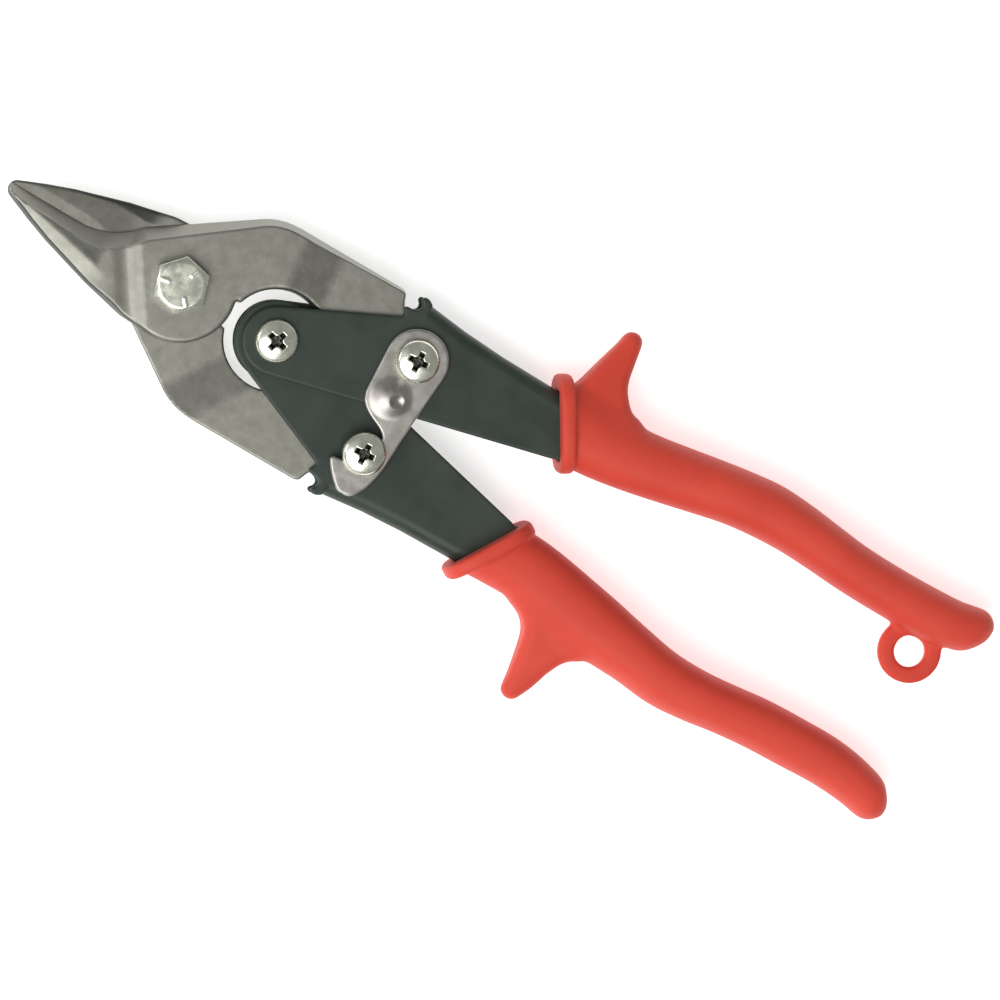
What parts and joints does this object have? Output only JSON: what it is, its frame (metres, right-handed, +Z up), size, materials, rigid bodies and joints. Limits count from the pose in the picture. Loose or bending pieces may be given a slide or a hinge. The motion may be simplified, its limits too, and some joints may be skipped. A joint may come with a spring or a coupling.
{
  "type": "aviation snips",
  "caption": "Compound-action aviation snips with short bulldog jaws, two-lever linkage, hook latch and moulded grips, lying closed and latched.",
  "frame": {"origin": "on the axis of the pivot bolt, at the flat end of the bolt, which lies in the plane that the tool rests on", "axes": "+X towards the handles, +Y towards the upper handle with the hanging ring, +Z up from the rest plane towards the bolt head and the latch"},
  "size_m": [0.2396, 0.0846, 0.0196],
  "materials": {
    "blade_steel": "forged and blasted alloy steel, satin and slightly mottled, with ground bevels on the cutting edges",
    "zinc_plate": "bright zinc plate with a faint yellow-green cast",
    "lever_paint": "dark green-black satin paint on stamped sheet",
    "latch_nickel": "dull nickel plate with bright rolled edges",
    "spring_steel": "oiled spring wire",
    "grip_vinyl": "red moulded vinyl, matte with a soft sheen"
  },
  "bodies": {
    "front_blade": {"front_blade": "blade_steel", "pivot_bolt": "zinc_plate", "pivot_washer": "zinc_plate", "pivot_nut": "zinc_plate"},
    "rear_blade": {"rear_blade": "blade_steel"},
    "upper_lever": {"upper_lever": "lever_paint", "upper_grip": "grip_vinyl", "hub_sleeve": "zinc_plate", "hub_screw": "zinc_plate", "hub_washer": "zinc_plate", "hub_spacer": "zinc_plate", "return_spring": "spring_steel", "upper_tang_sleeve": "zinc_plate", "upper_tang_screw": "zinc_plate", "latch_washer": "zinc_plate"},
    "lower_lever": {"lower_lever": "lever_paint", "lower_grip": "grip_vinyl", "lower_tang_sleeve": "zinc_plate", "lower_tang_screw": "zinc_plate"},
    "latch": {"latch": "latch_nickel"}
  },
  "joints": [
    {"name": "handles_open", "type": "hinge", "parent": "upper_lever", "child": "lower_lever", "pos_m": [0.0244, 0, 0.0098], "axis": [0, 0, 1], "range_deg": [-36, 0], "deforming": ["return_spring"]},
    {"name": "upper_tang_pivot", "type": "hinge", "parent": "front_blade", "child": "upper_lever", "pos_m": [0.0533, 0.0117, 0.0098], "axis": [0, 0, 1], "range_deg": [0, 8.8]},
    {"name": "jaws_open", "type": "hinge", "parent": "front_blade", "child": "rear_blade", "pos_m": [0, 0, 0.0098], "axis": [0, 0, 1], "range_deg": [-18.7, 0]},
    {"name": "latch_swing", "type": "hinge", "parent": "upper_lever", "child": "latch", "pos_m": [0.0533, 0.0117, 0.0098], "axis": [0, 0, 1], "range_deg": [0, 97.4]}
  ],
  "couplings": [
    {"joint": "upper_tang_pivot", "follows": "handles_open", "ratio": -0.242},
    {"joint": "jaws_open", "follows": "handles_open", "ratio": 0.516},
    {"joint": "latch_swing", "follows": "handles_open", "ratio": -2.7}
  ]
}
